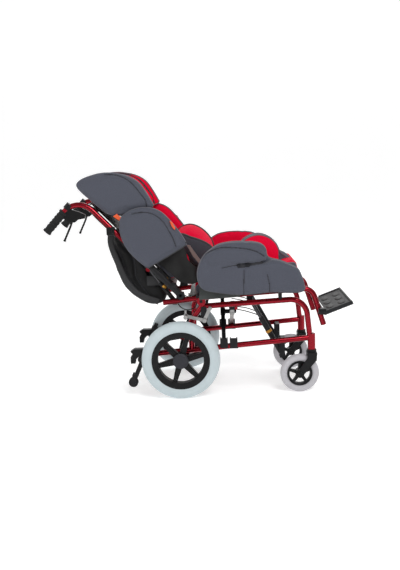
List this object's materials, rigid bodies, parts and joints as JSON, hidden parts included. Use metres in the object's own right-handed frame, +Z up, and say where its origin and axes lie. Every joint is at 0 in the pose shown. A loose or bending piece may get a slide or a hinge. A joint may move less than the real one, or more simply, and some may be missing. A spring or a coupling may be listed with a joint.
{
  "type": "manual wheelchair",
  "caption": "Child's folding transit wheelchair with padded reclining back, tilting seat, pad armrests, one-piece footplate, push handles and anti-tip bars.",
  "frame": {"origin": "on the floor, under the middle of the chair's outline", "axes": "+X forward, +Y to the chair's left, +Z up"},
  "size_m": [1.1939, 0.524, 0.8789],
  "materials": {
    "frame_paint": "candy gloss",
    "black_steel": "satin",
    "bright_steel": "satin",
    "grey_tyre": "matt",
    "caster_tyre": "matt",
    "black_plastic": "moulded",
    "cap_plastic": "moulded",
    "roller_rubber": "matt",
    "grip_rubber": "ribbed",
    "foot_plastic": "moulded",
    "grey_fabric": "knit",
    "red_fabric": "knit",
    "black_sheet": "coated",
    "black_fabric": "woven"
  },
  "bodies": {
    "right_frame": {"right_side_frame": "frame_paint", "right_frame_fittings": "black_steel", "right_tip_pedal": "black_plastic"},
    "right_rear_wheel": {"right_rear_tyre": "grey_tyre", "right_rear_rim": "black_plastic", "right_hub_cap": "cap_plastic"},
    "right_caster": {"right_caster_fork": "black_plastic"},
    "right_caster_wheel": {"right_caster_tyre": "caster_tyre", "right_caster_rim": "black_plastic"},
    "right_wheel_lock": {"right_wheel_lock_lever": "bright_steel"},
    "right_antitip": {"right_antitip_bar": "black_steel"},
    "right_tip_roller": {"right_antitip_roller": "roller_rubber"},
    "right_seat": {"right_seat_rail": "frame_paint", "right_seat_fittings": "black_steel"},
    "right_arm": {"right_arm_pad": "grey_fabric"},
    "right_tilt_strut": {"right_tilt_cylinder": "black_steel"},
    "right_tilt_piston": {"right_tilt_rod": "bright_steel"},
    "right_back": {"right_back_cane": "frame_paint", "right_handle_grip": "grip_rubber", "right_brake_body": "black_plastic", "right_side_pad": "grey_fabric", "back_sling": "black_sheet", "back_cushion": "red_fabric", "lumbar_cushion": "red_fabric", "storage_bag": "black_fabric"},
    "right_brake": {"right_brake_lever": "black_steel"},
    "right_recline_strut": {"right_recline_cylinder": "black_steel"},
    "right_recline_piston": {"right_recline_rod": "bright_steel"},
    "left_frame": {"left_side_frame": "frame_paint", "left_frame_fittings": "black_steel", "left_tip_pedal": "black_plastic"},
    "left_rear_wheel": {"left_rear_tyre": "grey_tyre", "left_rear_rim": "black_plastic", "left_hub_cap": "cap_plastic"},
    "left_caster": {"left_caster_fork": "black_plastic"},
    "left_caster_wheel": {"left_caster_tyre": "caster_tyre", "left_caster_rim": "black_plastic"},
    "left_wheel_lock": {"left_wheel_lock_lever": "bright_steel"},
    "left_antitip": {"left_antitip_bar": "black_steel"},
    "left_tip_roller": {"left_antitip_roller": "roller_rubber"},
    "left_seat": {"left_seat_rail": "frame_paint", "left_seat_fittings": "black_steel"},
    "left_arm": {"left_arm_pad": "grey_fabric"},
    "left_tilt_strut": {"left_tilt_cylinder": "black_steel"},
    "left_tilt_piston": {"left_tilt_rod": "bright_steel"},
    "left_back": {"left_back_cane": "frame_paint", "left_handle_grip": "grip_rubber", "left_brake_body": "black_plastic", "left_side_pad": "grey_fabric"},
    "left_brake": {"left_brake_lever": "black_steel"},
    "left_recline_strut": {"left_recline_cylinder": "black_steel"},
    "left_recline_piston": {"left_recline_rod": "bright_steel"},
    "brace_a": {"brace_arm_a": "black_steel"},
    "brace_b": {"brace_arm_b": "bright_steel"},
    "footplate": {"footplate": "foot_plastic"},
    "seat_upholstery": {"seat_sling": "black_sheet", "seat_cushion": "red_fabric", "pommel": "red_fabric"},
    "headrest": {"head_cushion": "grey_fabric", "head_post": "black_steel"}
  },
  "joints": [
    {"name": "fold", "type": "hinge", "parent": "right_frame", "child": "brace_a", "pos_m": [0.0855, -0.18, 0.215], "axis": [1, 0, 0], "range_deg": [0, 40], "deforming": ["seat_sling", "seat_cushion", "pommel", "back_sling", "back_cushion", "lumbar_cushion", "head_cushion", "head_post", "storage_bag"]},
    {"name": "brace_cross", "type": "hinge", "parent": "brace_a", "child": "brace_b", "pos_m": [0.1225, 0, 0.29514], "axis": [1, 0, 0], "range_deg": [-80, 0]},
    {"name": "brace_far_foot", "type": "hinge", "parent": "brace_b", "child": "left_frame", "pos_m": [0.1225, 0.18, 0.215], "axis": [1, 0, 0], "range_deg": [0, 40]},
    {"name": "footplate_flip", "type": "hinge", "parent": "right_seat", "child": "footplate", "pos_m": [0.469, -0.156, 0.3006], "axis": [0.9379, 0, 0.3469], "range_deg": [0, 90]},
    {"name": "seat_lift", "type": "slide", "parent": "right_seat", "child": "seat_upholstery", "axis": [0, 0, 1], "range_m": [0, 0.13]},
    {"name": "right_rear_wheel_spin", "type": "hinge", "parent": "right_frame", "child": "right_rear_wheel", "pos_m": [-0.0825, -0.227, 0.1525], "axis": [0, 1, 0], "continuous": true},
    {"name": "right_caster_swivel", "type": "hinge", "parent": "right_frame", "child": "right_caster", "pos_m": [0.4285, -0.18, 0.17], "axis": [0, 0, 1], "continuous": true},
    {"name": "right_caster_spin", "type": "hinge", "parent": "right_caster", "child": "right_caster_wheel", "pos_m": [0.3805, -0.18, 0.076], "axis": [0, 1, 0], "continuous": true},
    {"name": "right_wheel_lock", "type": "hinge", "parent": "right_frame", "child": "right_wheel_lock", "pos_m": [0.0125, -0.197, 0.3], "axis": [0, -1, 0], "range_deg": [0, 6]},
    {"name": "right_antitip_height", "type": "slide", "parent": "right_frame", "child": "right_antitip", "axis": [0.4049, 0, 0.9143], "range_m": [0, 0.03]},
    {"name": "right_tip_roller_spin", "type": "hinge", "parent": "right_antitip", "child": "right_tip_roller", "pos_m": [-0.2755, -0.18, 0.056], "axis": [0, 1, 0], "continuous": true},
    {"name": "right_tilt", "type": "hinge", "parent": "right_frame", "child": "right_seat", "pos_m": [0.0025, -0.17, 0.373], "axis": [0, -1, 0], "range_deg": [0, 30]},
    {"name": "right_tilt_strut_swing", "type": "hinge", "parent": "right_frame", "child": "right_tilt_strut", "pos_m": [0.3175, -0.125, 0.14], "axis": [0, 1, 0], "range_deg": [0, 6]},
    {"name": "right_tilt_strut_reach", "type": "slide", "parent": "right_tilt_strut", "child": "right_tilt_piston", "axis": [-0.4743, 0, 0.8803], "range_m": [0, 0.11]},
    {"name": "right_recline", "type": "hinge", "parent": "right_seat", "child": "right_back", "pos_m": [-0.0775, -0.165, 0.398], "axis": [0, 1, 0], "range_deg": [0, 30]},
    {"name": "right_recline_strut_swing", "type": "hinge", "parent": "right_seat", "child": "right_recline_strut", "pos_m": [-0.1025, -0.134, 0.368], "axis": [0, 1, 0], "range_deg": [0, 30]},
    {"name": "right_recline_strut_reach", "type": "slide", "parent": "right_recline_strut", "child": "right_recline_piston", "axis": [-0.5874, 0, 0.8093], "range_m": [0, 0.02]},
    {"name": "right_arm_flip", "type": "hinge", "parent": "right_seat", "child": "right_arm", "pos_m": [0.0215, -0.22, 0.446], "axis": [0, -1, 0], "range_deg": [0, 85]},
    {"name": "right_brake_squeeze", "type": "hinge", "parent": "right_back", "child": "right_brake", "pos_m": [-0.4795, -0.172, 0.709], "axis": [0, 1, 0], "range_deg": [0, 22], "stiffness_Nm_per_rad": 1.2, "springref_deg": -2.86},
    {"name": "left_rear_wheel_spin", "type": "hinge", "parent": "left_frame", "child": "left_rear_wheel", "pos_m": [-0.0825, 0.227, 0.1525], "axis": [0, 1, 0], "continuous": true},
    {"name": "left_caster_swivel", "type": "hinge", "parent": "left_frame", "child": "left_caster", "pos_m": [0.4285, 0.18, 0.17], "axis": [0, 0, 1], "continuous": true},
    {"name": "left_caster_spin", "type": "hinge", "parent": "left_caster", "child": "left_caster_wheel", "pos_m": [0.3805, 0.18, 0.076], "axis": [0, 1, 0], "continuous": true},
    {"name": "left_wheel_lock", "type": "hinge", "parent": "left_frame", "child": "left_wheel_lock", "pos_m": [0.0125, 0.197, 0.3], "axis": [0, -1, 0], "range_deg": [0, 6]},
    {"name": "left_antitip_height", "type": "slide", "parent": "left_frame", "child": "left_antitip", "axis": [0.4049, 0, 0.9143], "range_m": [0, 0.03]},
    {"name": "left_tip_roller_spin", "type": "hinge", "parent": "left_antitip", "child": "left_tip_roller", "pos_m": [-0.2755, 0.18, 0.056], "axis": [0, 1, 0], "continuous": true},
    {"name": "left_tilt", "type": "hinge", "parent": "left_frame", "child": "left_seat", "pos_m": [0.0025, 0.17, 0.373], "axis": [0, -1, 0], "range_deg": [0, 30]},
    {"name": "left_tilt_strut_swing", "type": "hinge", "parent": "left_frame", "child": "left_tilt_strut", "pos_m": [0.3175, 0.125, 0.14], "axis": [0, 1, 0], "range_deg": [0, 6]},
    {"name": "left_tilt_strut_reach", "type": "slide", "parent": "left_tilt_strut", "child": "left_tilt_piston", "axis": [-0.4743, 0, 0.8803], "range_m": [0, 0.11]},
    {"name": "left_recline", "type": "hinge", "parent": "left_seat", "child": "left_back", "pos_m": [-0.0775, 0.165, 0.398], "axis": [0, 1, 0], "range_deg": [0, 30]},
    {"name": "left_recline_strut_swing", "type": "hinge", "parent": "left_seat", "child": "left_recline_strut", "pos_m": [-0.1025, 0.134, 0.368], "axis": [0, 1, 0], "range_deg": [0, 30]},
    {"name": "left_recline_strut_reach", "type": "slide", "parent": "left_recline_strut", "child": "left_recline_piston", "axis": [-0.5874, 0, 0.8093], "range_m": [0, 0.02]},
    {"name": "left_arm_flip", "type": "hinge", "parent": "left_seat", "child": "left_arm", "pos_m": [0.0215, 0.22, 0.446], "axis": [0, -1, 0], "range_deg": [0, 85]},
    {"name": "left_brake_squeeze", "type": "hinge", "parent": "left_back", "child": "left_brake", "pos_m": [-0.4795, 0.172, 0.709], "axis": [0, 1, 0], "range_deg": [0, 22], "stiffness_Nm_per_rad": 1.2, "springref_deg": -2.86},
    {"name": "headrest_height", "type": "slide", "parent": "right_back", "child": "headrest", "axis": [-0.6931, 0, 0.7208], "range_m": [0, 0.06]}
  ],
  "couplings": [
    {"joint": "brace_cross", "follows": "fold", "ratio": -2},
    {"joint": "brace_far_foot", "follows": "fold", "ratio": 1},
    {"joint": "footplate_flip", "follows": "fold", "ratio": 2.25},
    {"joint": "seat_lift", "follows": "fold", "m_per_rad": 0.18621},
    {"joint": "right_tilt_strut_swing", "follows": "right_tilt", "ratio": 0.14},
    {"joint": "right_tilt_strut_reach", "follows": "right_tilt", "m_per_rad": 0.1845},
    {"joint": "right_recline_strut_swing", "follows": "right_recline", "ratio": 0.897},
    {"joint": "right_recline_strut_reach", "follows": "right_recline", "m_per_rad": 0.0344},
    {"joint": "left_tilt_strut_swing", "follows": "right_tilt", "ratio": 0.14},
    {"joint": "left_tilt_strut_reach", "follows": "right_tilt", "m_per_rad": 0.1845},
    {"joint": "left_recline_strut_swing", "follows": "right_recline", "ratio": 0.897},
    {"joint": "left_recline_strut_reach", "follows": "right_recline", "m_per_rad": 0.0344},
    {"joint": "left_tilt", "follows": "right_tilt", "ratio": 1},
    {"joint": "left_recline", "follows": "right_recline", "ratio": 1}
  ]
}
